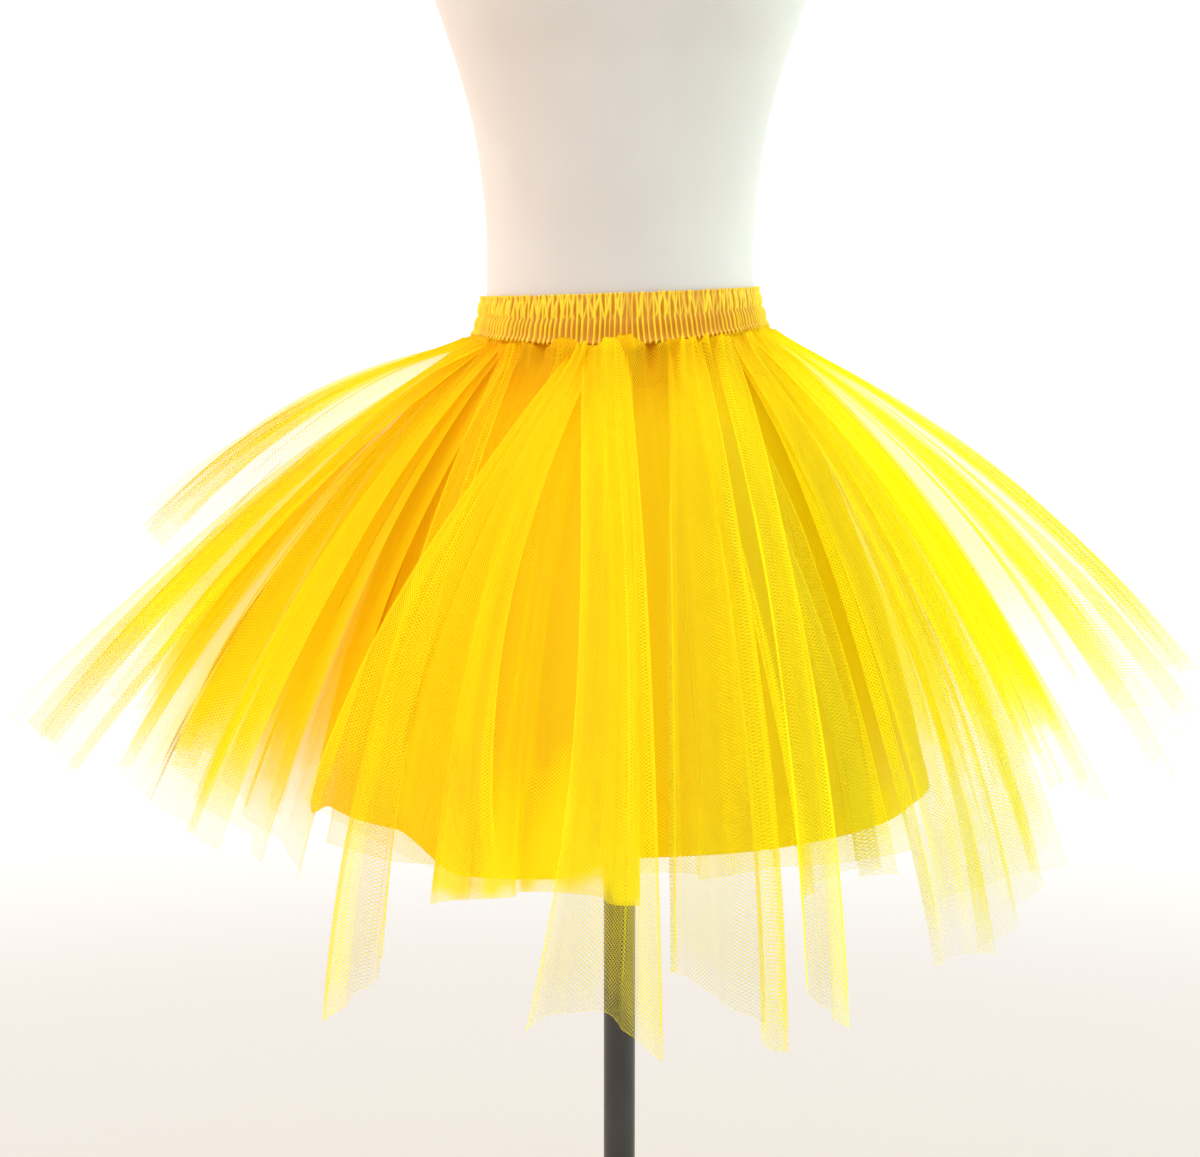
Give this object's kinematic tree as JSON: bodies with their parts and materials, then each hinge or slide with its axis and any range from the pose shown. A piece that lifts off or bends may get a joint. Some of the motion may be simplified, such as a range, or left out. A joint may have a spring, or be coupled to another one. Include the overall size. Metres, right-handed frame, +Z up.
{
  "type": "tulle skirt on dress form",
  "caption": "Knee-length tulle skirt with a shirred satin waistband, opaque satin lining and uneven pointed tulle panels, on a limbless dress form with a pole and a round base.",
  "frame": {"origin": "centre of the stand's underside, on the floor", "axes": "+Z up, -Y towards the wearer's front, +X towards the wearer's left"},
  "size_m": [1.0645, 0.8586, 1.485],
  "materials": {
    "tulle": "matte net",
    "satin_band": "shirred satin",
    "satin_lining": "satin",
    "form_cover": "fine jersey",
    "stand_metal": "satin black"
  },
  "bodies": {
    "root": {"waistband": "satin_band", "lining_front": "satin_lining", "lining_back": "satin_lining", "tulle_1_front": "tulle", "tulle_1_back": "tulle", "tulle_2_right": "tulle", "tulle_2_back": "tulle", "tulle_2_left": "tulle", "tulle_3_centre": "tulle", "tulle_3_front": "tulle", "tulle_3_right": "tulle", "tulle_3_left": "tulle", "tulle_4_front": "tulle", "tulle_4_right": "tulle", "tulle_4_back": "tulle", "tulle_4_left": "tulle", "tulle_4_front_left": "tulle", "tulle_5_front_left": "tulle", "tulle_5_front_right": "tulle", "tulle_5_right": "tulle", "tulle_5_back_right": "tulle", "tulle_5_back_left": "tulle", "tulle_5_left": "tulle", "tulle_6_front": "tulle", "tulle_6_right": "tulle", "tulle_6_back": "tulle", "tulle_6_left": "tulle", "form_torso": "form_cover", "stand_pole": "stand_metal", "stand_base": "stand_metal"}
  },
  "joints": []
}
